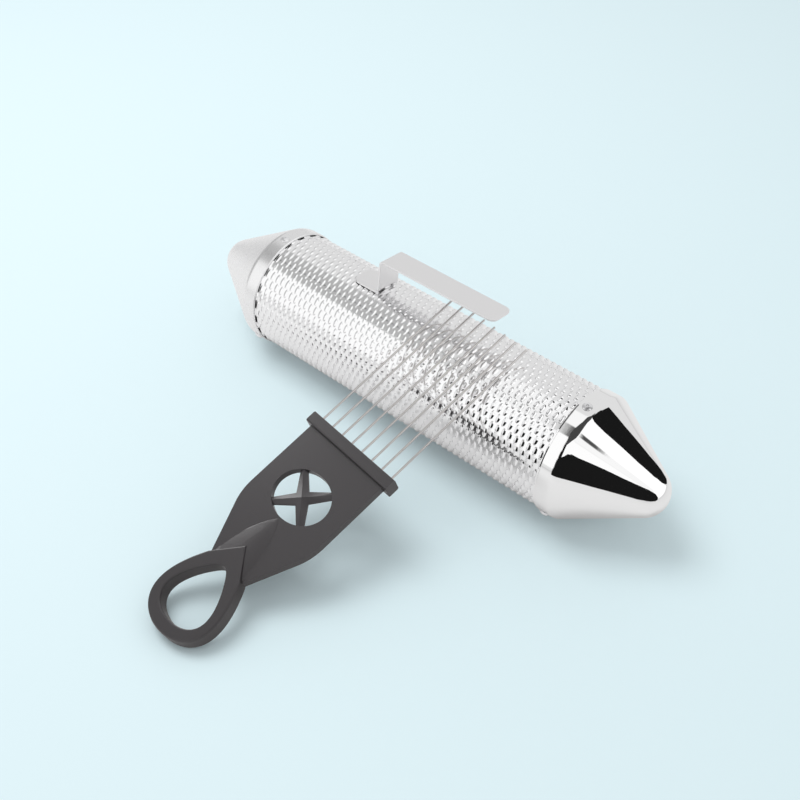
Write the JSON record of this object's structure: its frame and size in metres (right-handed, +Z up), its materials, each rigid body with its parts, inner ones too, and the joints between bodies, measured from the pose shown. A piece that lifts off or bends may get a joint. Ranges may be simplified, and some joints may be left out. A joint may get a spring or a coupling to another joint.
{
  "type": "guiro",
  "caption": "Metal guiro: a tube of raised dashes closed by riveted cone caps, with a bent hand strip, and a scraper with steel tines and a looped plastic handle.",
  "frame": {"origin": "middle of the tube, on its axis", "axes": "+X along the tube towards the right cap, +Z up, -Y towards the scraper's handle"},
  "size_m": [0.3816, 0.2914, 0.1113],
  "materials": {
    "tube_steel": "polished",
    "cap_steel": "polished",
    "strip_steel": "satin",
    "rivet_aluminium": "satin",
    "handle_plastic": "fine grain",
    "tine_steel": "drawn wire"
  },
  "bodies": {
    "guiro": {"guiro_tube": "tube_steel", "left_cap": "cap_steel", "right_cap": "cap_steel", "hand_strip": "strip_steel", "left_rivet_1": "rivet_aluminium", "left_rivet_2": "rivet_aluminium", "left_rivet_3": "rivet_aluminium", "right_rivet_1": "rivet_aluminium", "right_rivet_2": "rivet_aluminium", "right_rivet_3": "rivet_aluminium"},
    "scraper": {"scraper_handle": "handle_plastic", "scraper_tine_1": "tine_steel", "scraper_tine_2": "tine_steel", "scraper_tine_3": "tine_steel", "scraper_tine_4": "tine_steel", "scraper_tine_5": "tine_steel", "scraper_tine_6": "tine_steel", "scraper_tine_7": "tine_steel", "scraper_tine_8": "tine_steel"}
  },
  "joints": [
    {"name": "scraper_stroke", "type": "slide", "parent": "guiro", "child": "scraper", "axis": [1, 0, 0], "range_m": [-0.042, 0.045]}
  ]
}
